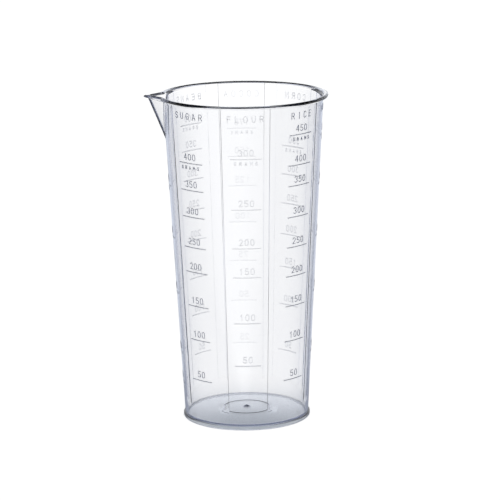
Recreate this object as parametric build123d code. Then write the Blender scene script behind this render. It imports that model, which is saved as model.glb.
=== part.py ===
from build123d import *
import math
import os

# Clear plastic kitchen measuring cup with a pouring spout. Millimetres, +Z up.
# The real cup is one injection moulding. Every solid below is one moulded feature of it, closed on
# its own, and meets its neighbours face to face. The origin is the centre of the foot on the table.
# The spout points to -X and the flour scale faces -Y. Angles round the cup are degrees from -Y
# towards +X.

# Cup body
HEIGHT = 165.0
BASE_RADIUS = 31.15
TOP_RADIUS = 40.0
WALL = 1.3
FLOOR_UNDERSIDE = 1.1
FLOOR_TOP = 2.7
FLOOR_RISE = 1.1
MOUTH_FLARE_HEIGHT = 2.0
MOUTH_EDGE = 0.15

# Rim bead and foot
BEAD_RADIUS = 42.35
BEAD_HEIGHT = 1.5
BEAD_NOSE = 0.7
FOOT_RADIUS = 32.1
FOOT_HEIGHT = 1.8
FOOT_NOSE = 0.5

# Pouring spout
SPOUT_TIP_RADIUS = 48.4
SPOUT_MOUTH_ANGLE = 16.0
SPOUT_KEEL_BOTTOM = 141.5
SPOUT_WALL = 1.3
SPOUT_REACH = 1.6
LIP_WIDTH = 1.1

# Moulded details of the floor
FLOOR_RING_RADIUS = 12.0
FLOOR_RING_WIDTH = 1.4
FLOOR_RING_HEIGHT = 0.15
GATE_RADIUS = 2.6
GATE_PIP_RADIUS = 0.6
GATE_HEIGHT = 1.0

# Raised strips between the eight panels that carry the scales
PANELS = 8
STRIP_ANGLE = 10.0
STRIP_RELIEF = 0.3
STRIP_BOTTOM = 10.0

# Raised scale marks
MARK_RELIEF = 0.25
LINE_ANGLE = 23.0
LINE_HEIGHT = 0.5
DIGIT_HEIGHT = 3.4
DIGIT_PITCH = 2.8
DIGIT_GAP = 1.5
DIGIT_STROKE = 0.45
HEADING_HEIGHT = 3.4
HEADING_PITCH = 4.0
HEADING_BOTTOM = 156.8
UNIT_HEIGHT = 1.9
UNIT_PITCH = 2.6
UNIT_GAP = 1.2
UNIT_STROKE = 0.35

# Each scale: where its panel faces, its heading, its unit, and the height of each graduation line.
# The panel under the spout has no room for a heading.
SCALES = {
    "flour": (0, "FLOUR", "GRAMS", {50: 33.4, 100: 55.4, 150: 79.0, 200: 93.8, 250: 113.4, 300: 138.7}),
    "rice": (45, "RICE", "GRAMS", {50: 24.1, 100: 44.2, 150: 62.3, 200: 77.6, 250: 92.4, 300: 107.7,
                                   350: 123.4, 400: 133.7, 450: 148.9}),
    "volume": (90, "VOLUME", "ML", {100: 33.8, 200: 65.0, 300: 93.5, 400: 120.0, 500: 144.8}),
    "corn": (135, "CORN", "GRAMS", {50: 26.5, 100: 50.5, 150: 70.0, 200: 87.0, 250: 103.0, 300: 118.0,
                                    350: 132.7}),
    "cocoa": (180, "COCOA", "GRAMS", {25: 28.9, 50: 51.3, 75: 72.2, 100: 92.3, 125: 111.1, 150: 126.3,
                                      175: 140.8}),
    "beans": (-135, "BEANS", "GRAMS", {50: 26.5, 100: 46.9, 150: 66.0, 200: 85.5, 250: 101.0, 300: 116.7,
                                       350: 131.7, 400: 145.0}),
    "spout_side": (-90, "", "ML", {50: 18.2, 100: 33.8, 200: 65.0, 300: 93.5, 400: 120.0}),
    "sugar": (-45, "SUGAR", "GRAMS", {50: 23.7, 100: 44.6, 150: 62.1, 200: 79.6, 250: 92.3, 300: 107.8,
                                      350: 121.3, 400: 135.0}),
}

# Strokes of the characters, in a cell one unit tall
STROKES = {
    "0": [[(0.15, 0), (0.4, 0), (0.55, 0.2), (0.55, 0.8), (0.4, 1), (0.15, 1), (0, 0.8), (0, 0.2), (0.15, 0)]],
    "1": [[(0.1, 0.78), (0.3, 1), (0.3, 0)]],
    "2": [[(0, 0.82), (0.14, 1), (0.4, 1), (0.55, 0.82), (0.55, 0.6), (0, 0), (0.57, 0)]],
    "3": [[(0, 0.85), (0.14, 1), (0.4, 1), (0.52, 0.85), (0.52, 0.66), (0.36, 0.53), (0.55, 0.38),
           (0.55, 0.16), (0.4, 0), (0.14, 0), (0, 0.15)]],
    "4": [[(0.42, 0), (0.42, 1)], [(0.36, 1), (0, 0.3), (0.58, 0.3)]],
    "5": [[(0.52, 1), (0.06, 1), (0.04, 0.56), (0.38, 0.6), (0.55, 0.43), (0.55, 0.16), (0.4, 0),
           (0.12, 0), (0, 0.14)]],
    "7": [[(0, 1), (0.56, 1), (0.2, 0)]],
    "A": [[(0, 0), (0.3, 1), (0.6, 0)], [(0.12, 0.34), (0.48, 0.34)]],
    "B": [[(0, 0.5), (0, 1), (0.38, 1), (0.5, 0.88), (0.5, 0.64), (0.38, 0.52), (0.54, 0.38), (0.54, 0.15),
           (0.4, 0), (0, 0), (0, 0.5)], [(0, 0.52), (0.36, 0.52)]],
    "C": [[(0.56, 0.82), (0.42, 1), (0.15, 1), (0, 0.8), (0, 0.2), (0.15, 0), (0.42, 0), (0.56, 0.18)]],
    "E": [[(0.54, 1), (0, 1), (0, 0), (0.54, 0)], [(0, 0.52), (0.44, 0.52)]],
    "F": [[(0.54, 1), (0, 1), (0, 0)], [(0, 0.52), (0.44, 0.52)]],
    "G": [[(0.56, 0.82), (0.42, 1), (0.15, 1), (0, 0.8), (0, 0.2), (0.15, 0), (0.42, 0), (0.56, 0.18),
           (0.56, 0.46), (0.32, 0.46)]],
    "I": [[(0.28, 0), (0.28, 1)]],
    "L": [[(0, 1), (0, 0), (0.5, 0)]],
    "M": [[(0, 0), (0, 1), (0.34, 0.36), (0.68, 1), (0.68, 0)]],
    "N": [[(0, 0), (0, 1), (0.56, 0), (0.56, 1)]],
    "O": [[(0.17, 0), (0.43, 0), (0.6, 0.2), (0.6, 0.8), (0.43, 1), (0.17, 1), (0, 0.8), (0, 0.2), (0.17, 0)]],
    "R": [[(0, 0), (0, 1)], [(0, 1), (0.4, 1), (0.55, 0.86), (0.55, 0.64), (0.4, 0.5), (0, 0.5)],
          [(0.3, 0.5), (0.58, 0)]],
    "S": [[(0.54, 0.85), (0.4, 1), (0.14, 1), (0, 0.85), (0, 0.66), (0.14, 0.54), (0.42, 0.46),
           (0.56, 0.34), (0.56, 0.15), (0.42, 0), (0.14, 0), (0, 0.15)]],
    "U": [[(0, 1), (0, 0.2), (0.15, 0), (0.41, 0), (0.56, 0.2), (0.56, 1)]],
    "V": [[(0, 1), (0.3, 0), (0.6, 1)]],
}
CELL_MIDDLE = 0.28


def outer_radius(z):
    """Radius of the outside of the wall at a height."""
    return BASE_RADIUS + (TOP_RADIUS - BASE_RADIUS) * z / HEIGHT


def inner_radius(z):
    """Radius of the inside of the wall at a height."""
    return outer_radius(z) - WALL


def profile(points):
    """Closed face in the XZ plane from (radius, height) points."""
    return make_face(Polyline(*[(r, 0, z) for r, z in points], close=True))


def turned(points, middle=0.0, sweep=360.0):
    """Turns a profile round the cup's axis, over an arc centred on an angle from -Y."""
    return Rot(0, 0, middle - 90 - sweep / 2) * revolve(profile(points), Axis.Z, sweep)


def band(bottom, top, relief, middle, sweep):
    """Strip of constant relief that hugs the outside of the wall."""
    points = [
        (outer_radius(bottom), bottom),
        (outer_radius(bottom) + relief, bottom),
        (outer_radius(top) + relief, top),
        (outer_radius(top), top),
    ]
    return turned(points, middle, sweep)


def nosed_ring(bottom, top, radius, nose):
    """Ring outside the wall with a rounded outer edge."""
    points = [(outer_radius(bottom), bottom), (radius, bottom), (radius, top), (outer_radius(top), top)]
    section = profile(points)
    outer_corners = [v for v in section.vertices() if abs(v.X - radius) < 1e-6]
    section = fillet(outer_corners, nose)
    return revolve(section, Axis.Z, 360)


def full_cone(top):
    """Solid of everything within the outside of the wall, up to a height."""
    return turned([(0, 0), (BASE_RADIUS, 0), (outer_radius(top), top), (0, top)])


def polyhedron(faces):
    """Closed solid from flat faces given by their corners."""
    return Solid(Shell([Face(Wire.make_polygon(corners, close=True)) for corners in faces]))


def spout_wedge(top, inset=0.0):
    """Solid wedge of the spout's outside, or of its channel when it is inset by the spout's wall."""
    mouth = math.radians(SPOUT_MOUTH_ANGLE)
    tip = Vector(-SPOUT_TIP_RADIUS, 0, HEIGHT)
    keel = Vector(-outer_radius(SPOUT_KEEL_BOTTOM), 0, SPOUT_KEEL_BOTTOM) - tip
    lip = Vector(-TOP_RADIUS * math.cos(mouth), TOP_RADIUS * math.sin(mouth), HEIGHT) - tip
    outward = lip.cross(keel).normalized()
    shift = Vector(inset / abs(outward.X), 0, 0)
    rise = keel * ((top - HEIGHT) / keel.Z)
    peak = tip + shift + rise
    root = tip + shift + keel * SPOUT_REACH
    left = tip + shift + rise + lip * SPOUT_REACH
    right = Vector(left.X, -left.Y, left.Z)
    return polyhedron([(peak, left, right), (peak, root, left), (peak, right, root), (root, right, left)])


def make_wall():
    """Tapered wall down to the table, flared at the mouth and notched for the spout's channel."""
    flare_bottom = HEIGHT - MOUTH_FLARE_HEIGHT
    points = [
        (inner_radius(0), 0),
        (BASE_RADIUS, 0),
        (TOP_RADIUS, HEIGHT),
        (TOP_RADIUS - MOUTH_EDGE, HEIGHT),
        (inner_radius(flare_bottom), flare_bottom),
    ]
    return turned(points) - spout_wedge(HEIGHT + 5, SPOUT_WALL)


def make_floor():
    """Floor disc inside the wall, standing clear of the table and domed up in the middle."""
    low_edge = (inner_radius(FLOOR_UNDERSIDE), 0, FLOOR_UNDERSIDE)
    high_edge = (inner_radius(FLOOR_TOP), 0, FLOOR_TOP)
    low_middle = (0, 0, FLOOR_UNDERSIDE + FLOOR_RISE)
    high_middle = (0, 0, FLOOR_TOP + FLOOR_RISE)
    outline = [
        Line(low_middle, high_middle),
        TangentArc(high_middle, high_edge, tangent=(1, 0, 0)),
        Line(high_edge, low_edge),
        TangentArc(low_middle, low_edge, tangent=(1, 0, 0)),
    ]
    return revolve(make_face(outline), Axis.Z, 360)


def make_rim_bead():
    """Outward bead round the rim, open at the spout."""
    ring = nosed_ring(HEIGHT - BEAD_HEIGHT, HEIGHT, BEAD_RADIUS, BEAD_NOSE)
    return ring - spout_wedge(HEIGHT + 5)


def make_spout():
    """V-shaped spout outside the wall."""
    shell = spout_wedge(HEIGHT) - spout_wedge(HEIGHT + 5, SPOUT_WALL)
    return shell - full_cone(HEIGHT + 1)


def make_spout_lip():
    """Bead along both edges of the spout, from the rim bead to the tip."""
    mouth = math.radians(SPOUT_MOUTH_ANGLE)
    along = Vector(SPOUT_TIP_RADIUS - TOP_RADIUS * math.cos(mouth), TOP_RADIUS * math.sin(mouth), 0)
    tip_radius = SPOUT_TIP_RADIUS + LIP_WIDTH * along.length / along.Y
    reach = along * SPOUT_REACH
    outline = Polygon(
        (-tip_radius, 0), (reach.X - tip_radius, -reach.Y), (reach.X - tip_radius, reach.Y), align=None
    )
    prism = Pos(0, 0, HEIGHT - BEAD_HEIGHT) * extrude(outline, BEAD_HEIGHT)
    rim_disc = Pos(0, 0, HEIGHT - BEAD_HEIGHT / 2) * Cylinder(BEAD_RADIUS, BEAD_HEIGHT + 2)
    return prism - spout_wedge(HEIGHT + 5) - rim_disc


def make_floor_ring():
    """Low ring moulded on the floor."""
    half = FLOOR_RING_WIDTH / 2
    rise_there = FLOOR_RISE * (1 - (FLOOR_RING_RADIUS / inner_radius(FLOOR_TOP)) ** 2)
    shoulder = FLOOR_TOP + rise_there
    top = shoulder + FLOOR_RING_HEIGHT
    points = [
        (FLOOR_RING_RADIUS - half, FLOOR_TOP),
        (FLOOR_RING_RADIUS + half, FLOOR_TOP),
        (FLOOR_RING_RADIUS + half, shoulder),
        (FLOOR_RING_RADIUS + half / 3, top),
        (FLOOR_RING_RADIUS - half / 3, top),
        (FLOOR_RING_RADIUS - half, shoulder),
    ]
    return turned(points) - make_floor()


def make_gate_mark():
    """Peak left by the injection gate at the middle of the floor."""
    bottom = FLOOR_TOP + FLOOR_RISE
    top = bottom + GATE_HEIGHT
    shoulder = bottom + GATE_HEIGHT / 3
    points = [
        (0, FLOOR_TOP),
        (GATE_RADIUS, FLOOR_TOP),
        (GATE_RADIUS, bottom),
        (GATE_PIP_RADIUS * 2, shoulder),
        (GATE_PIP_RADIUS, top),
        (0, top),
    ]
    return turned(points) - make_floor()


def make_panel_strips():
    """Raised strips between the scale panels, from above the foot to the rim bead."""
    strips = [
        band(STRIP_BOTTOM, HEIGHT - BEAD_HEIGHT, STRIP_RELIEF, (i + 0.5) * 360 / PANELS, STRIP_ANGLE)
        for i in range(PANELS)
    ]
    return Compound(strips)


def stroke_outline(points, half):
    """Corners of the outline of a stroke: one side out and the other side back, mitred at each turn."""
    sides = ([], [])
    steps = [(b - a).normalized() for a, b in zip(points, points[1:])]
    for i, point in enumerate(points):
        before = steps[max(i - 1, 0)]
        after = steps[min(i, len(steps) - 1)]
        bisector = (before + after).normalized()
        normal = Vector(-bisector.Y, bisector.X)
        reach = half / max(bisector.dot(after), 0.5)
        sides[0].append(point + normal * reach)
        sides[1].append(point - normal * reach)
    return sides


def glyph(character, height, stroke):
    """Flat sketch of one character with its lower edge on the X axis."""
    half = stroke / 2
    inner = height - stroke
    sketch = Sketch()
    for cells in STROKES[character]:
        points = [Vector((x - CELL_MIDDLE) * inner, y * inner + half) for x, y in cells]
        closed = (points[0] - points[-1]).length < 1e-6
        if closed:
            points = [(points[0] + points[1]) * 0.5] + points[1:-1] + [(points[0] + points[1]) * 0.5]
        left, right = stroke_outline(points, half)
        if closed:
            loops = sorted((Face(Wire.make_polygon(side[:-1], close=True)) for side in (left, right)),
                           key=lambda face: -face.area)
            sketch += loops[0] - loops[1]
        else:
            sketch += Face(Wire.make_polygon(right + left[::-1], close=True))
    return sketch


GLYPHS = {}


def word_on_wall(text, middle, bottom, height, pitch, stroke):
    """Raised characters of one word, each square to the wall at its own angle."""
    radius = outer_radius(bottom + height / 2)
    step = math.degrees(pitch / radius)
    prisms = []
    for i, character in enumerate(text):
        key = (character, height, stroke)
        if key not in GLYPHS:
            GLYPHS[key] = extrude(glyph(*key), 4)
        upright = Pos(0, 2 - radius, bottom) * Rot(90, 0, 0) * GLYPHS[key]
        prisms.append(Rot(0, 0, middle + (i - (len(text) - 1) / 2) * step) * upright)
    skin = band(bottom - 1, bottom + height + 1, MARK_RELIEF, middle, step * len(text) + 10)
    return (Compound(prisms) & skin).solids()


def make_scale(name):
    """Lines, numbers and words of one scale, as three groups of raised solids."""
    middle, heading, unit, marks = SCALES[name]
    lines = []
    numbers = []
    for amount, z in marks.items():
        low_edge = z - LINE_HEIGHT / 2
        lines.append(band(low_edge, low_edge + LINE_HEIGHT, MARK_RELIEF, middle, LINE_ANGLE))
        numbers += word_on_wall(str(amount), middle, z + DIGIT_GAP, DIGIT_HEIGHT, DIGIT_PITCH, DIGIT_STROKE)
    top_line = max(marks.values())
    words = word_on_wall(unit, middle, top_line - UNIT_GAP - UNIT_HEIGHT, UNIT_HEIGHT, UNIT_PITCH, UNIT_STROKE)
    if heading:
        words += word_on_wall(heading, middle, HEADING_BOTTOM, HEADING_HEIGHT, HEADING_PITCH, DIGIT_STROKE)
    return {"lines": lines, "numbers": numbers, "words": words}


def make_parts():
    """All sub-parts by name."""
    parts = {
        "cup_wall": make_wall(),
        "cup_floor": make_floor(),
        "rim_bead": make_rim_bead(),
        "pouring_spout": make_spout(),
        "spout_lip": make_spout_lip(),
        "foot_ring": nosed_ring(0, FOOT_HEIGHT, FOOT_RADIUS, FOOT_NOSE),
        "floor_ring": make_floor_ring(),
        "gate_mark": make_gate_mark(),
        "panel_strips": make_panel_strips(),
    }
    for name in SCALES:
        for kind, solids in make_scale(name).items():
            parts[f"{name}_{kind}"] = Compound(solids)
    return parts


os.makedirs("parts", exist_ok=True)
for node, shape in make_parts().items():
    export_step(shape, f"parts/{node}.step")
    print(node, len(shape.solids()), round(shape.volume, 2))
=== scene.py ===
import math

import bpy
from mathutils import Matrix, Vector


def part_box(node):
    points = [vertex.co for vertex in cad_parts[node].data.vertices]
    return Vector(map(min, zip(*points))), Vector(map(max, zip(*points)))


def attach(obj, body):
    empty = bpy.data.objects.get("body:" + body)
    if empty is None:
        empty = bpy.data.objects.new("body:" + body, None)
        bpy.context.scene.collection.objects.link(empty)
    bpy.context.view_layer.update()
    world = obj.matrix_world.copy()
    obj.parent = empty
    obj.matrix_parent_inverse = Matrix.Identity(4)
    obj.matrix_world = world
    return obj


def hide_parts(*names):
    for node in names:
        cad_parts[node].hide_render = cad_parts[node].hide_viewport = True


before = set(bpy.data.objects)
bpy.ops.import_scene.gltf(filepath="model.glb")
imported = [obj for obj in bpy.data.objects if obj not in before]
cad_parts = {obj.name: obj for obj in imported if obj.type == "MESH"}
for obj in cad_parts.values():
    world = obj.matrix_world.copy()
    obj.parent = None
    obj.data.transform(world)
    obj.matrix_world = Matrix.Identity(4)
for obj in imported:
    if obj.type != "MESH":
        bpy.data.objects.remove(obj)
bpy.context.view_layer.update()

# Clear plastic measuring cup. The cup is one moulding, so its body is one closed mesh here, and each
# scale's raised lines, numbers and words are meshes of their own. Lengths are millimetres until MM
# turns them into metres. Angles round the cup are degrees from -Y towards +X.
MM = 0.001


def node_radius(node):
    """Largest radius of a round CAD node, in millimetres."""
    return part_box(node)[1].y / MM


# Sizes read from the CAD nodes
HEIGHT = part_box("cup_wall")[1].z / MM
TOP_RADIUS = node_radius("cup_wall")
BEAD_RADIUS = node_radius("rim_bead")
FOOT_RADIUS = node_radius("foot_ring")
FOOT_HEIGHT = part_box("foot_ring")[1].z / MM
FLOOR_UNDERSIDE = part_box("cup_floor")[0].z / MM
FLOOR_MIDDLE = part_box("cup_floor")[1].z / MM
STRIP_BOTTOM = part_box("panel_strips")[0].z / MM
SPOUT_KEEL_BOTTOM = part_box("pouring_spout")[0].z / MM
SPOUT_TIP_RADIUS = -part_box("pouring_spout")[0].x / MM
SPOUT_MOUTH_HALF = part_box("pouring_spout")[1].y / MM
GATE_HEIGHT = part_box("gate_mark")[1].z / MM - FLOOR_MIDDLE
GATE_RADIUS = node_radius("gate_mark")
FLOOR_RING_OUTER = node_radius("floor_ring")

# Wall, and the flare inside its mouth
BASE_RADIUS = 31.15
WALL = 1.3
FLARE = 1.15
FLARE_HEIGHT = 1.6

# Rim bead. Its underside is lower at the cup's front corners: the spans are the sine and the cosine of
# the angle over which that comes on, and it fades out over SAG_FADE of height.
BEAD_HEIGHT = 1.3
BEAD_BOTTOM = HEIGHT - BEAD_HEIGHT
BEAD_MIDDLE = HEIGHT - BEAD_HEIGHT / 2
BEAD_SAG = 0.6
SAG_SIDE_SPAN = (0.35, 0.7)
SAG_FRONT_SPAN = (-0.09, 0.21)
SAG_FADE = 2.0

# Pouring spout and its lip. BLEND is the width of the fillets where the spout meets the wall.
SPOUT_AZIMUTH = -90.0
SPOUT_SPREAD = 45.0
SPOUT_WALL = 1.3
LIP_WIDTH = 1.1
BLEND = 0.5
KEEL_ROUNDING = 0.012

# Foot and the skirt inside it
FOOT_NOSE = 0.5
SKIRT_NOSE = 0.3
UNDERSIDE_FILLET = 0.5

# Raised strips between the panels. STRIP_STEP is the angle over which a strip's edge rises.
PANELS = 8
STRIP_ANGLE = 10.0
STRIP_RELIEF = 0.3
STRIP_STEP = 0.12
STRIP_FADE = 4.5

# Floor, with its moulded ring and the gate's peak
FLOOR_DOME = 1.1
FLOOR_TOP = FLOOR_MIDDLE - FLOOR_DOME
FLOOR_FILLET = 0.15
FLOOR_RING_WIDTH = 1.4
FLOOR_RING_HEIGHT = 0.1
FLOOR_RING_SPREAD = 0.32
GATE_STEEPNESS = 2.2

# Spacing of the body's rows, in millimetres, and of its columns, in degrees
FINE_ROW = 0.6
TALL_ROW = 6
FLOOR_ROW = 2
MOUTH_ROW = 0.15
CROWN_TURN = 7.5
COLUMN = 1
SPOUT_COLUMN = 0.5
COLUMN_LEAST = 0.05
SHARP_ANGLE = math.radians(40)

# Camera, in degrees and millimetres
CAMERA_AZIMUTH = -1.5
CAMERA_ELEVATION = 12.654
CAMERA_DISTANCE = 1324.0
CAMERA_ROLL = -0.662
CAMERA_LENS = 189.4
TARGET_RIGHT = 2.546
TARGET_HEIGHT = 85.12


def outer_radius(z):
    """Radius of the outside of the plain wall."""
    return BASE_RADIUS + (TOP_RADIUS - BASE_RADIUS) * z / HEIGHT


def inner_radius(z):
    """Radius of the inside of the plain wall, which opens out just under the rim."""
    flare = (z - BEAD_MIDDLE + FLARE_HEIGHT) / FLARE_HEIGHT
    return outer_radius(z) - WALL + FLARE * min(max(flare, 0.0), 1.0) ** 2


def on_cup(angle, radius, z):
    """Point in metres from an angle in degrees, a radius and a height."""
    a = math.radians(angle)
    return Vector((radius * math.sin(a), -radius * math.cos(a), z)) * MM


def smooth_max(a, b, width):
    """Larger of two lengths, with a fillet where they cross."""
    return (a + b + math.sqrt((a - b) ** 2 + width**2)) / 2 - width**2 / (4 * (abs(a - b) + width))


def ramp(x, span=(0, 1)):
    """Smooth step from 0 to 1 over a span."""
    share = min(max((x - span[0]) / (span[1] - span[0]), 0.0), 1.0)
    return share * share * (3 - 2 * share)


# ---------------------------------------------------------------- body of the cup


def spout_normal():
    """Outward normal of the spout's side that leans towards +Y."""
    tip = Vector((-SPOUT_TIP_RADIUS, 0, HEIGHT))
    keel = Vector((-outer_radius(SPOUT_KEEL_BOTTOM), 0, SPOUT_KEEL_BOTTOM)) - tip
    mouth_x = -math.sqrt(TOP_RADIUS**2 - SPOUT_MOUTH_HALF**2)
    lip = Vector((mouth_x, SPOUT_MOUTH_HALF, HEIGHT)) - tip
    normal = lip.cross(keel).normalized()
    return normal if normal.x < 0 else -normal


SPOUT_NORMAL = spout_normal()


def spout_radius(angle, z, offset):
    """Radius of the spout's side plane, moved outward by an offset, or 0 away from the spout."""
    turn = math.radians(angle - SPOUT_AZIMUTH)
    if abs(turn) > math.radians(SPOUT_SPREAD):
        return 0.0
    n = SPOUT_NORMAL
    side = math.sqrt(math.sin(turn) ** 2 + KEEL_ROUNDING**2)
    return (offset - n.x * SPOUT_TIP_RADIUS - n.z * (z - HEIGHT)) / (-n.x * math.cos(turn) + abs(n.y) * side)


def strip_relief(angle, z):
    """Height of the raised strips between the scale panels."""
    pitch = 360 / PANELS
    if abs(angle % pitch - pitch / 2) > STRIP_ANGLE / 2:
        return 0.0
    return STRIP_RELIEF * ramp((z - STRIP_BOTTOM) / STRIP_FADE + 0.5)


def outside(angle, z):
    """Outside of the wall, its strips and the spout."""
    wall = outer_radius(z) + strip_relief(angle, z)
    return smooth_max(wall, spout_radius(angle, z, 0.0), BLEND)


def inside(angle, z):
    """Inside of the wall and the spout's channel."""
    return smooth_max(inner_radius(z), spout_radius(angle, z, -SPOUT_WALL), BLEND)


def bead(angle):
    """Outer edge of the rim bead and the spout's lip."""
    return smooth_max(BEAD_RADIUS, spout_radius(angle, HEIGHT, LIP_WIDTH), BLEND)


def bead_sag(angle):
    """How much lower the bead's underside is at the cup's front corners than elsewhere."""
    a = math.radians(angle)
    return BEAD_SAG * ramp(abs(math.sin(a)), SAG_SIDE_SPAN) * ramp(math.cos(a), SAG_FRONT_SPAN)


def lowered(z, top, drop):
    """Height moved down by a drop at the top, and by less and less below it."""
    return z - drop * ramp(z, (top - SAG_FADE, top))


def bead_point(angle, turn):
    """Point of the bead's crown, which runs from under its outer edge over to the mouth's inside."""
    outer, inner = bead(angle), inside(angle, BEAD_MIDDLE)
    middle = BEAD_MIDDLE - bead_sag(angle) / 2
    a = math.radians(turn)
    return (outer + inner) / 2 + (outer - inner) / 2 * math.cos(a), middle + (HEIGHT - middle) * math.sin(a)


def arc(centre_r, centre_z, radius, start, end, steps):
    """Points of an arc in the profile plane, angles in degrees from outward to up."""
    angles = [math.radians(start + (end - start) * i / steps) for i in range(steps + 1)]
    return [(centre_r + radius * math.cos(a), centre_z + radius * math.sin(a)) for a in angles]


def spread(start, end, step):
    """Evenly spaced values from start to end, about a step apart."""
    count = max(1, round(abs(end - start) / step))
    return [start + (end - start) * i / count for i in range(count + 1)]


def dome(radius):
    """Rise of the floor, above and below, over its edge."""
    return FLOOR_DOME * max(0.0, 1 - (radius / inner_radius(0)) ** 2)


def floor_height(radius):
    """Top of the floor: a low dome with its moulded ring and the gate's peak."""
    middle = FLOOR_RING_OUTER - FLOOR_RING_WIDTH / 2
    ring = FLOOR_RING_HEIGHT * math.exp(-(((radius - middle) / (FLOOR_RING_WIDTH * FLOOR_RING_SPREAD)) ** 2))
    peak = GATE_HEIGHT * max(0.0, 1 - radius / GATE_RADIUS) ** GATE_STEEPNESS
    return FLOOR_TOP + dome(radius) + ring + peak


def underside_points():
    """Profile from the middle of the underside to the top of the foot ring."""
    skirt = inner_radius(0)
    points = [(r, FLOOR_UNDERSIDE + dome(r)) for r in spread(1.5, skirt - 1.2, FLOOR_ROW)]
    fillet = UNDERSIDE_FILLET
    points += arc(skirt - fillet, FLOOR_UNDERSIDE - fillet, fillet, 85, 0, 9)
    points += arc(skirt + SKIRT_NOSE, SKIRT_NOSE, SKIRT_NOSE, 180, 270, 6)
    points += arc(FOOT_RADIUS - FOOT_NOSE, FOOT_NOSE, FOOT_NOSE, 270, 360, 9)
    points += arc(FOOT_RADIUS - FOOT_NOSE, FOOT_HEIGHT - FOOT_NOSE, FOOT_NOSE, 0, 80, 9)
    return points


def floor_points():
    """Profile from the wall's foot on the inside to the middle of the floor."""
    corner = inner_radius(FLOOR_TOP)
    points = arc(corner - FLOOR_FILLET + 0.05, FLOOR_TOP + FLOOR_FILLET, FLOOR_FILLET, 0, -85, 9)
    ring_inner = FLOOR_RING_OUTER - FLOOR_RING_WIDTH
    radii = (
        [corner - FLOOR_FILLET - share for share in (0.1, 0.5)]
        + spread(corner - FLOOR_FILLET - 1.5, FLOOR_RING_OUTER + 1, FLOOR_ROW)
        + spread(FLOOR_RING_OUTER + 0.3, ring_inner - 0.3, 0.15)
        + spread(ring_inner - 1, GATE_RADIUS + 1, 3)
        + spread(GATE_RADIUS, 0.15, 0.3)
    )
    return points + [(r, floor_height(r)) for r in radii]


def outside_row(z):
    """Row of the wall's outside at a height."""
    return lambda angle: (outside(angle, z), lowered(z, BEAD_BOTTOM, bead_sag(angle)))


def inside_row(z):
    """Row of the wall's inside at a height."""
    return lambda angle: (inside(angle, z), lowered(z, BEAD_MIDDLE, bead_sag(angle) / 2))


def shoulder_row(out, down):
    """Row under the bead, this far out from the wall and down from the bead's underside."""
    return lambda angle: (outside(angle, BEAD_BOTTOM) + out, BEAD_BOTTOM - bead_sag(angle) - down)


def crown_row(turn):
    """Row over the bead's crown."""
    return lambda angle: bead_point(angle, turn)


def plain_row(point):
    """Row that is the same all round."""
    return lambda angle: point


def body_rows():
    """Rows of the body from the middle of its underside round to the middle of its floor.

    Each row is a function from an angle to (radius, height)."""
    outside_heights = (
        spread(FOOT_HEIGHT + 0.3, STRIP_BOTTOM + STRIP_FADE - 0.5, FINE_ROW)
        + spread(STRIP_BOTTOM + STRIP_FADE, SPOUT_KEEL_BOTTOM - 4, TALL_ROW)
        + spread(SPOUT_KEEL_BOTTOM - 3, BEAD_BOTTOM - 0.35, FINE_ROW)
    )
    flare_bottom = BEAD_MIDDLE - FLARE_HEIGHT
    inside_heights = (
        spread(BEAD_MIDDLE - 0.1, flare_bottom - 0.2, MOUTH_ROW)
        + spread(flare_bottom - 0.6, SPOUT_KEEL_BOTTOM - 3, FINE_ROW)
        + spread(SPOUT_KEEL_BOTTOM - 6, FLOOR_TOP + FLOOR_FILLET + 4, TALL_ROW)
        + [FLOOR_TOP + FLOOR_FILLET + share for share in (1.5, 0.4, 0.1)]
    )
    rows = [plain_row(point) for point in underside_points()]
    rows += [outside_row(z) for z in outside_heights]
    rows += [shoulder_row(0.1, 0.1), shoulder_row(0.35, 0.0)]
    rows += [crown_row(turn) for turn in spread(-85, 180, CROWN_TURN)]
    rows += [inside_row(z) for z in inside_heights]
    rows += [plain_row(point) for point in floor_points()]
    return rows


def body_angles():
    """Angles of the body's columns: even, with more at the strips' edges and round the spout."""
    angles = set(spread(0, 360, COLUMN)[:-1])
    pitch = 360 / PANELS
    for i in range(PANELS):
        for side in (-1, 1):
            edge = (i + 0.5) * pitch + side * STRIP_ANGLE / 2
            angles.update(edge + d for d in (-0.3, -STRIP_STEP / 2, STRIP_STEP / 2, 0.3))
    angles.update(a % 360 for a in spread(SPOUT_AZIMUTH - 24, SPOUT_AZIMUTH + 24, SPOUT_COLUMN))
    angles.update((SPOUT_AZIMUTH + d) % 360 for d in (-0.25, 0.25))
    ordered = sorted(angles)
    return [a for a, b in zip(ordered, ordered[1:] + [ordered[0] + 360]) if b - a > COLUMN_LEAST]


def new_mesh_object(name, verts, faces, smooth=True):
    """Mesh object from metres, smooth shaded but for its sharp edges."""
    mesh = bpy.data.meshes.new(name)
    mesh.from_pydata(verts, [], faces)
    mesh.validate()
    mesh.polygons.foreach_set("use_smooth", [smooth] * len(mesh.polygons))
    mesh.set_sharp_from_angle(angle=SHARP_ANGLE)
    mesh.update()
    obj = bpy.data.objects.new(name, mesh)
    bpy.context.collection.objects.link(obj)
    return obj


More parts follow.
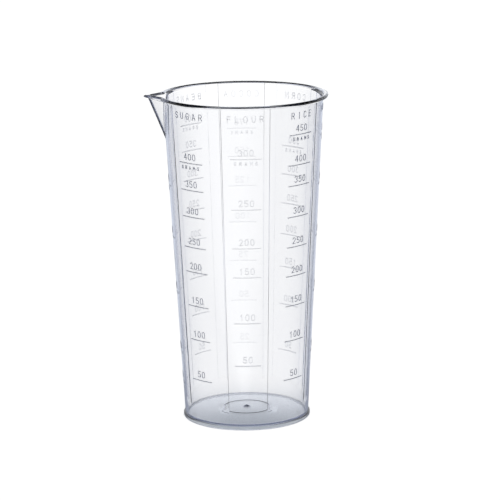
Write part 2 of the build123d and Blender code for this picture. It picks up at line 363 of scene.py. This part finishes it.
def make_body():
    """The cup's body as one closed mesh."""
    rows = body_rows()
    angles = body_angles()
    count = len(angles)
    verts = []
    for row in rows:
        for angle in angles:
            signed = angle if angle <= 180 else angle - 360
            radius, z = row(signed)
            verts.append(on_cup(angle, radius, z))
    faces = []
    for i in range(len(rows) - 1):
        for j in range(count):
            k = (j + 1) % count
            faces.append((i * count + j, i * count + k, (i + 1) * count + k, (i + 1) * count + j))
    bottom = len(verts)
    verts.append(on_cup(0, 0, FLOOR_UNDERSIDE + dome(0)))
    top = len(verts)
    verts.append(on_cup(0, 0, floor_height(0)))
    last = (len(rows) - 1) * count
    for j in range(count):
        k = (j + 1) % count
        faces.append((bottom, k, j))
        faces.append((top, last + j, last + k))
    return new_mesh_object("cup_moulding", verts, faces)


# ---------------------------------------------------------------- raised marks

# How far each scale's marks stand proud of the wall, and the hairline of air behind them
MARK_RELIEF = {"flour": 0.13, "rice": 0.25, "volume": 0.12, "corn": 0.1, "cocoa": 0.06, "beans": 0.1,
               "spout_side": 0.12, "sugar": 0.25}
MARK_GAP = 0.015

# Sizes of the lines and characters, as on the CAD nodes
LINE_ANGLE = 23.0
LINE_HEIGHT = 0.5
LINE_STEP = 0.7
DIGIT_HEIGHT = 3.4
DIGIT_PITCH = 2.8
DIGIT_GAP = 1.5
DIGIT_STROKE = 0.45
HEADING_HEIGHT = 3.4
HEADING_PITCH = 4.0
HEADING_BOTTOM = 156.8
UNIT_HEIGHT = 1.9
UNIT_PITCH = 2.6
UNIT_GAP = 1.2
UNIT_STROKE = 0.35

# Each scale: where its panel faces, its heading, its unit, and the height of each graduation line.
# The panel under the spout has no room for a heading.
SCALES = {
    "flour": (0, "FLOUR", "GRAMS", {50: 33.4, 100: 55.4, 150: 79.0, 200: 93.8, 250: 113.4, 300: 138.7}),
    "rice": (45, "RICE", "GRAMS", {50: 24.1, 100: 44.2, 150: 62.3, 200: 77.6, 250: 92.4, 300: 107.7,
                                   350: 123.4, 400: 133.7, 450: 148.9}),
    "volume": (90, "VOLUME", "ML", {100: 33.8, 200: 65.0, 300: 93.5, 400: 120.0, 500: 144.8}),
    "corn": (135, "CORN", "GRAMS", {50: 26.5, 100: 50.5, 150: 70.0, 200: 87.0, 250: 103.0, 300: 118.0,
                                    350: 132.7}),
    "cocoa": (180, "COCOA", "GRAMS", {25: 28.9, 50: 51.3, 75: 72.2, 100: 92.3, 125: 111.1, 150: 126.3,
                                      175: 140.8}),
    "beans": (-135, "BEANS", "GRAMS", {50: 26.5, 100: 46.9, 150: 66.0, 200: 85.5, 250: 101.0, 300: 116.7,
                                       350: 131.7, 400: 145.0}),
    "spout_side": (-90, "", "ML", {50: 18.2, 100: 33.8, 200: 65.0, 300: 93.5, 400: 120.0}),
    "sugar": (-45, "SUGAR", "GRAMS", {50: 23.7, 100: 44.6, 150: 62.1, 200: 79.6, 250: 92.3, 300: 107.8,
                                      350: 121.3, 400: 135.0}),
}

# Strokes of the characters, in a cell one unit tall
STROKES = {
    "0": [[(0.15, 0), (0.4, 0), (0.55, 0.2), (0.55, 0.8), (0.4, 1), (0.15, 1), (0, 0.8), (0, 0.2),
           (0.15, 0)]],
    "1": [[(0.1, 0.78), (0.3, 1), (0.3, 0)]],
    "2": [[(0, 0.82), (0.14, 1), (0.4, 1), (0.55, 0.82), (0.55, 0.6), (0, 0), (0.57, 0)]],
    "3": [[(0, 0.85), (0.14, 1), (0.4, 1), (0.52, 0.85), (0.52, 0.66), (0.36, 0.53), (0.55, 0.38),
           (0.55, 0.16), (0.4, 0), (0.14, 0), (0, 0.15)]],
    "4": [[(0.42, 0), (0.42, 1)], [(0.36, 1), (0, 0.3), (0.58, 0.3)]],
    "5": [[(0.52, 1), (0.06, 1), (0.04, 0.56), (0.38, 0.6), (0.55, 0.43), (0.55, 0.16), (0.4, 0),
           (0.12, 0), (0, 0.14)]],
    "7": [[(0, 1), (0.56, 1), (0.2, 0)]],
    "A": [[(0, 0), (0.3, 1), (0.6, 0)], [(0.12, 0.34), (0.48, 0.34)]],
    "B": [[(0, 0), (0, 1), (0.38, 1), (0.5, 0.88), (0.5, 0.64), (0.38, 0.52), (0, 0.52)],
          [(0.38, 0.52), (0.54, 0.38), (0.54, 0.15), (0.4, 0), (0, 0)]],
    "C": [[(0.56, 0.82), (0.42, 1), (0.15, 1), (0, 0.8), (0, 0.2), (0.15, 0), (0.42, 0), (0.56, 0.18)]],
    "E": [[(0.54, 1), (0, 1), (0, 0), (0.54, 0)], [(0, 0.52), (0.44, 0.52)]],
    "F": [[(0.54, 1), (0, 1), (0, 0)], [(0, 0.52), (0.44, 0.52)]],
    "G": [[(0.56, 0.82), (0.42, 1), (0.15, 1), (0, 0.8), (0, 0.2), (0.15, 0), (0.42, 0), (0.56, 0.18),
           (0.56, 0.46), (0.32, 0.46)]],
    "I": [[(0.28, 0), (0.28, 1)]],
    "L": [[(0, 1), (0, 0), (0.5, 0)]],
    "M": [[(0, 0), (0, 1), (0.34, 0.36), (0.68, 1), (0.68, 0)]],
    "N": [[(0, 0), (0, 1), (0.56, 0), (0.56, 1)]],
    "O": [[(0.17, 0), (0.43, 0), (0.6, 0.2), (0.6, 0.8), (0.43, 1), (0.17, 1), (0, 0.8), (0, 0.2),
           (0.17, 0)]],
    "R": [[(0, 0), (0, 1), (0.4, 1), (0.55, 0.86), (0.55, 0.64), (0.4, 0.5), (0, 0.5)],
          [(0.3, 0.5), (0.58, 0)]],
    "S": [[(0.54, 0.85), (0.4, 1), (0.14, 1), (0, 0.85), (0, 0.66), (0.14, 0.54), (0.42, 0.46),
           (0.56, 0.34), (0.56, 0.15), (0.42, 0), (0.14, 0), (0, 0.15)]],
    "U": [[(0, 1), (0, 0.2), (0.15, 0), (0.41, 0), (0.56, 0.2), (0.56, 1)]],
    "V": [[(0, 1), (0.3, 0), (0.6, 1)]],
}
# Points across a ridge: how far out, of its half width, and how far up, of its height
RIDGE_SECTION = [(1, 0), (0.86, 0.3), (0.68, 0.62), (0.45, 0.87), (0.2, 0.98), (-0.2, 0.98), (-0.45, 0.87),
                 (-0.68, 0.62), (-0.86, 0.3), (-1, 0)]
# Rounded end of a ridge: how far on, of its width, and the size of the section there
RIDGE_END = [(0.36, 0.7), (0.5, 0.15)]
LEAST_MITRE_COSINE = 0.6
CELL_MIDDLE = 0.28
SOFT_TURN = math.radians(70)


def softened(points, closed, rounds=2):
    """Cuts the corners of gentle turns, so that chamfers become curves, and keeps sharp turns."""
    for _ in range(rounds):
        count = len(points)
        made = []
        for i, point in enumerate(points):
            before = points[i - 1] if closed or i else None
            after = points[(i + 1) % count] if closed or i < count - 1 else None
            if before is None or after is None:
                made.append(point)
                continue
            turn = (point - before).angle(after - point)
            if turn > SOFT_TURN:
                made.append(point)
            else:
                made.extend([point.lerp(before, 0.25), point.lerp(after, 0.25)])
        points = made
    return points


def ridge(points, closed, width, relief, place, verts, faces):
    """Adds a rounded ridge along flat points: place(point, height) puts it on the wall."""
    count = len(points)
    rings = []
    for i, point in enumerate(points):
        before = points[i - 1] if closed or i else None
        after = points[(i + 1) % count] if closed or i < count - 1 else None
        step_in = (point - before).normalized() if before is not None else (after - point).normalized()
        step_out = (after - point).normalized() if after is not None else step_in
        along = (step_in + step_out).normalized()
        normal = Vector((-along.y, along.x))
        mitre = 1 / max(along.dot(step_out), LEAST_MITRE_COSINE)
        if before is None:
            rings += [(point - along * width * on, normal, size) for on, size in reversed(RIDGE_END)]
        rings.append((point, normal, mitre))
        if after is None:
            rings += [(point + along * width * on, normal, size) for on, size in RIDGE_END]
    base = len(verts)
    for point, normal, size in rings:
        tall = relief * min(size, 1.0)
        for out, up in RIDGE_SECTION:
            verts.append(place(point + normal * (out * width / 2 * size), up * tall))
    side = len(RIDGE_SECTION)
    spans = len(rings) if closed else len(rings) - 1
    for i in range(spans):
        a = base + i * side
        b = base + ((i + 1) % len(rings)) * side
        for j in range(side):
            k = (j + 1) % side
            faces.append((a + j, a + k, b + k, b + j))
    if not closed:
        faces.append(tuple(base + j for j in reversed(range(side))))
        end = base + (len(rings) - 1) * side
        faces.append(tuple(end + j for j in range(side)))


def on_wall(middle, z_origin):
    """Maps flat millimetres, across and up from a point of a panel, to metres on its outside."""
    mean = outer_radius(z_origin)

    def place(flat, height):
        z = z_origin + flat.y
        radius = outer_radius(z) + MARK_GAP + height
        return on_cup(middle + math.degrees(flat.x / mean), radius, z)

    return place


def add_word(text, middle, bottom, height, pitch, stroke, relief, verts, faces):
    """Adds the ridges of one word, centred on an angle, to a mesh."""
    inner = height - stroke
    place = on_wall(middle, bottom)
    for i, character in enumerate(text):
        shift = (i - (len(text) - 1) / 2) * pitch
        for cells in STROKES[character]:
            points = [Vector(((x - CELL_MIDDLE) * inner + shift, y * inner + stroke / 2)) for x, y in cells]
            closed = (points[0] - points[-1]).length < 1e-6
            if closed:
                points = points[:-1]
            ridge(softened(points, closed), closed, stroke, relief, place, verts, faces)


def make_scale(name):
    """Lines, numbers and words of one scale, as three pieces."""
    middle, heading, unit, marks = SCALES[name]
    relief = MARK_RELIEF[name]
    lines, numbers, words = ([], []), ([], []), ([], [])
    for amount, z in marks.items():
        reach = math.radians(LINE_ANGLE / 2) * outer_radius(z) - LINE_HEIGHT / 2
        line = [Vector((x, 0)) for x in spread(-reach, reach, LINE_STEP)]
        ridge(line, False, LINE_HEIGHT, relief, on_wall(middle, z), *lines)
        bottom = z + DIGIT_GAP
        add_word(str(amount), middle, bottom, DIGIT_HEIGHT, DIGIT_PITCH, DIGIT_STROKE, relief, *numbers)
    unit_bottom = max(marks.values()) - UNIT_GAP - UNIT_HEIGHT
    add_word(unit, middle, unit_bottom, UNIT_HEIGHT, UNIT_PITCH, UNIT_STROKE, relief, *words)
    add_word(heading, middle, HEADING_BOTTOM, HEADING_HEIGHT, HEADING_PITCH, DIGIT_STROKE, relief, *words)
    for kind, made in (("lines", lines), ("numbers", numbers), ("words", words)):
        node = f"{name}_{kind}"
        piece = new_mesh_object(f"raised_{node}", *made)
        finish_piece(piece, MARKS, [node])


# ---------------------------------------------------------------- materials


PLASTIC_IOR = 1.58
WAVE_DEPTH = 0.0002


def clear_plastic(name, tint, density, roughness, wave_scale, wave_strength):
    """Clear moulded plastic: polished, tinted by its thickness, with the faint waviness of a moulding."""
    mat = bpy.data.materials.new(name)
    mat.use_nodes = True
    nodes, links = mat.node_tree.nodes, mat.node_tree.links
    shader = nodes["Principled BSDF"]
    shader.inputs["Base Color"].default_value = (1, 1, 1, 1)
    shader.inputs["Roughness"].default_value = roughness
    shader.inputs["IOR"].default_value = PLASTIC_IOR
    shader.inputs["Transmission Weight"].default_value = 1.0
    absorb = nodes.new("ShaderNodeVolumeAbsorption")
    absorb.inputs["Color"].default_value = (*tint, 1)
    absorb.inputs["Density"].default_value = density
    links.new(absorb.outputs["Volume"], nodes["Material Output"].inputs["Volume"])
    place = nodes.new("ShaderNodeTexCoord")
    waves = nodes.new("ShaderNodeTexNoise")
    waves.inputs["Scale"].default_value = wave_scale
    waves.inputs["Detail"].default_value = 2.0
    bump = nodes.new("ShaderNodeBump")
    bump.inputs["Strength"].default_value = wave_strength
    bump.inputs["Distance"].default_value = WAVE_DEPTH
    links.new(place.outputs["Object"], waves.inputs["Vector"])
    links.new(waves.outputs["Fac"], bump.inputs["Height"])
    links.new(bump.outputs["Normal"], shader.inputs["Normal"])
    return mat


def finish_piece(piece, material, nodes):
    """Gives a piece its material, slot and body, and hides the CAD nodes that it stands for."""
    piece.data.materials.append(material)
    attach(piece, "root")
    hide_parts(*nodes)


PLASTIC = clear_plastic(
    "clear_plastic",
    tint=(0.55, 0.6, 0.72),
    density=22.0,
    roughness=0.015,
    wave_scale=60.0,
    wave_strength=0.15,
)
# Painted shade: the marks take up far more light than the cup, with a dark tint, though they are of the same
# clear moulding, so that they show dark on it as the shade of their ridges
MARKS = clear_plastic(
    "raised_mark_plastic",
    tint=(0.35, 0.36, 0.4),
    density=2500.0,
    roughness=0.05,
    wave_scale=900.0,
    wave_strength=0.3,
)

body = make_body()
finish_piece(
    body,
    PLASTIC,
    ["cup_wall", "cup_floor", "rim_bead", "pouring_spout", "spout_lip", "foot_ring", "floor_ring",
     "gate_mark", "panel_strips"],
)
for scale in SCALES:
    make_scale(scale)

# ---------------------------------------------------------------- stage, light and camera

scene = bpy.context.scene
scene.view_settings.view_transform = "Standard"
scene.cycles.max_bounces = 24
scene.cycles.transmission_bounces = 24
scene.cycles.glossy_bounces = 12


# Light of the studio, by how it has come. DIRECT is what the lens meets with nothing between, THROUGH
# what shows through the plastic, REFLECTED what mirrors in it once, GUIDED the same where the light has
# also passed through two faces or more, and REFLECTED_TWICE what mirrors twice or more. SIDE is the same
# away from the lit backdrop, where the room is dark. A real room has one brightness for all of these:
# they differ here to set the cup's looks.
TABLE_DIRECT = (0.9, 0.9, 0.9, 1)
TABLE_THROUGH = (1.01, 1.01, 1.01, 1)
# Painted shadow: a soft, dim, bluish patch painted into the table's glow under and in front of the cup, seen
# only through the plastic
TABLE_PAINTED_SHADOW = (0.34, 0.375, 0.42, 1)
TABLE_GUIDED = (0.66, 0.7, 0.8, 1)
TABLE_SIDE_GUIDED = (0.3, 0.33, 0.42, 1)
TABLE_REFLECTED = (0.62, 0.66, 0.74, 1)
TABLE_SIDE_REFLECTED = (0.1, 0.115, 0.14, 1)
TABLE_REFLECTED_TWICE = (0.36, 0.38, 0.48, 1)
WALL_DIRECT = (1.0, 1.0, 1.0, 1)
WALL_THROUGH = (1.1, 1.1, 1.1, 1)
WALL_GUIDED = (0.87, 0.91, 0.99, 1)
WALL_SIDE_GUIDED = (0.12, 0.13, 0.16, 1)
WALL_REFLECTED = (0.9, 0.92, 0.95, 1)
WALL_REFLECTED_TWICE = (0.36, 0.38, 0.48, 1)

# Where the light changes: towards the lit backdrop behind the cup, up to the dim ceiling, and sideways
# on the table, as parts of a unit direction
BEHIND_SPAN = (0.6, 0.95)
CEILING_SPAN = (0.24, 0.52)
CEILING_LIGHT = 0.03
SIDE_SPAN = (0.02, 0.08)
SIDE_DIM = 0.92

# Table, in metres
TABLE_HALF = 3.0
TABLE_GAP = 0.0001
# Painted shadow on the table: the offset that puts its middle in front of the cup, and how far it spreads
PAINTED_SHADOW_PLACE = (0.0, 0.032, 0.0)
PAINTED_SHADOW_SPREAD = 0.11


def mixed(nodes, links, factor, first, second):
    """Colour that goes from the first to the second as the factor goes from 0 to 1."""
    mix = nodes.new("ShaderNodeMix")
    mix.data_type = "RGBA"
    links.new(factor, mix.inputs[0])
    for socket, value in ((mix.inputs[6], first), (mix.inputs[7], second)):
        if isinstance(value, tuple):
            socket.default_value = value
        else:
            links.new(value, socket)
    return mix.outputs[2]


def ranged(nodes, links, value, span, results, smooth=False):
    """Value carried from one span to another."""
    node = nodes.new("ShaderNodeMapRange")
    node.interpolation_type = "SMOOTHSTEP" if smooth else "LINEAR"
    node.inputs["From Min"].default_value, node.inputs["From Max"].default_value = span
    node.inputs["To Min"].default_value, node.inputs["To Max"].default_value = results
    links.new(value, node.inputs["Value"])
    return node.outputs["Result"]


def scaled(nodes, links, colour, share):
    """Colour times a share."""
    node = nodes.new("ShaderNodeVectorMath")
    node.operation = "SCALE"
    if isinstance(colour, tuple):
        node.inputs[0].default_value = colour[:3]
    else:
        links.new(colour, node.inputs[0])
    links.new(share, node.inputs["Scale"])
    return node.outputs[0]


def studio_light(nodes, links, direct, through, guided, reflected, reflected_twice):
    """Colour of the studio's light, by how it has come to what it lights."""
    path = nodes.new("ShaderNodeLightPath")
    reflections = path.outputs["Glossy Depth"]
    once = ranged(nodes, links, reflections, (0, 1), (0, 1))
    twice = ranged(nodes, links, reflections, (1, 2), (0, 1))
    inside = ranged(nodes, links, path.outputs["Transmission Depth"], (1, 2), (0, 1))
    reflected = mixed(nodes, links, inside, reflected, guided)
    light = mixed(nodes, links, once, through, reflected)
    light = mixed(nodes, links, twice, light, reflected_twice)
    return mixed(nodes, links, path.outputs["Is Camera Ray"], light, direct)


def make_floor():
    """Opal table top that glows, with a painted shadow: a soft dim patch under the cup, painted into its
    glow, that shows only through the plastic.
    """
    corners = [(x * TABLE_HALF, y * TABLE_HALF, 0) for x, y in ((-1, -1), (1, -1), (1, 1), (-1, 1))]
    table = new_mesh_object("table_top", corners, [(0, 1, 2, 3)], smooth=False)
    table.location.z = -TABLE_GAP
    mat = bpy.data.materials.new("opal_table")
    mat.use_nodes = True
    nodes, links = mat.node_tree.nodes, mat.node_tree.links
    shader = nodes["Principled BSDF"]
    shader.inputs["Base Color"].default_value = (0.8, 0.8, 0.8, 1)
    shader.inputs["Roughness"].default_value = 0.9
    shader.inputs["Specular IOR Level"].default_value = 0.0
    shader.inputs["Emission Strength"].default_value = 1.0
    place = nodes.new("ShaderNodeTexCoord")
    moved = nodes.new("ShaderNodeVectorMath")
    moved.operation = "ADD"
    moved.inputs[1].default_value = PAINTED_SHADOW_PLACE
    reach = nodes.new("ShaderNodeVectorMath")
    reach.operation = "LENGTH"
    heading = nodes.new("ShaderNodeVectorMath")
    heading.operation = "NORMALIZE"
    split = nodes.new("ShaderNodeSeparateXYZ")
    links.new(place.outputs["Object"], moved.inputs[0])
    links.new(moved.outputs[0], reach.inputs[0])
    links.new(place.outputs["Object"], heading.inputs[0])
    links.new(heading.outputs[0], split.inputs[0])
    # Painted shadow: the table's glow seen through the plastic dims towards the middle of the painted patch
    lit = ranged(nodes, links, reach.outputs["Value"], (0, PAINTED_SHADOW_SPREAD), (0, 1), smooth=True)
    # Painted light and shade: in the plastic's reflections the table's glow is brighter behind the cup and
    # darker to the sides
    behind = ranged(nodes, links, split.outputs["Y"], BEHIND_SPAN, (0, 1), smooth=True)
    through = mixed(nodes, links, lit, TABLE_PAINTED_SHADOW, TABLE_THROUGH)
    reflected = mixed(nodes, links, behind, TABLE_SIDE_REFLECTED, TABLE_REFLECTED)
    guided = mixed(nodes, links, behind, TABLE_SIDE_GUIDED, TABLE_GUIDED)
    # Painted shade: seen through the plastic, the table's glow is a little dimmer to the sides
    aside = nodes.new("ShaderNodeMath")
    aside.operation = "ABSOLUTE"
    links.new(split.outputs["X"], aside.inputs[0])
    dim = ranged(nodes, links, aside.outputs[0], SIDE_SPAN, (1, SIDE_DIM))
    through = scaled(nodes, links, through, dim)
    light = studio_light(nodes, links, TABLE_DIRECT, through, guided, reflected, TABLE_REFLECTED_TWICE)
    links.new(light, shader.inputs["Emission Color"])
    table.data.materials.append(mat)


def make_world():
    """White studio wall all round, fading to a dim ceiling."""
    world = bpy.data.worlds.new("studio")
    scene.world = world
    world.use_nodes = True
    nodes, links = world.node_tree.nodes, world.node_tree.links
    place = nodes.new("ShaderNodeTexCoord")
    split = nodes.new("ShaderNodeSeparateXYZ")
    links.new(place.outputs["Generated"], split.inputs["Vector"])
    fade = ranged(nodes, links, split.outputs["Z"], CEILING_SPAN, (1, CEILING_LIGHT))
    behind = ranged(nodes, links, split.outputs["Y"], BEHIND_SPAN, (0, 1), smooth=True)
    guided = mixed(nodes, links, behind, WALL_SIDE_GUIDED, WALL_GUIDED)
    light = studio_light(
        nodes, links, WALL_DIRECT, WALL_THROUGH, guided, WALL_REFLECTED, WALL_REFLECTED_TWICE
    )
    links.new(scaled(nodes, links, light, fade), nodes["Background"].inputs["Color"])
    nodes["Background"].inputs["Strength"].default_value = 1.0


def make_camera():
    """Camera on a long lens, a little above the cup's middle."""
    a, e = math.radians(CAMERA_AZIMUTH), math.radians(CAMERA_ELEVATION)
    back = Vector((math.sin(a) * math.cos(e), -math.cos(a) * math.cos(e), math.sin(e)))
    right = Vector((math.cos(a), math.sin(a), 0))
    up = back.cross(right)
    roll = math.radians(CAMERA_ROLL)
    x_axis = right * math.cos(roll) + up * math.sin(roll)
    y_axis = up * math.cos(roll) - right * math.sin(roll)
    target = right * TARGET_RIGHT + Vector((0, 0, TARGET_HEIGHT))
    data = bpy.data.cameras.new("camera")
    data.lens = CAMERA_LENS
    camera = bpy.data.objects.new("camera", data)
    bpy.context.collection.objects.link(camera)
    rotation = Matrix((x_axis, y_axis, back)).transposed().to_4x4()
    camera.matrix_world = Matrix.Translation((target + back * CAMERA_DISTANCE) * MM) @ rotation
    scene.camera = camera


make_floor()
make_world()
make_camera()
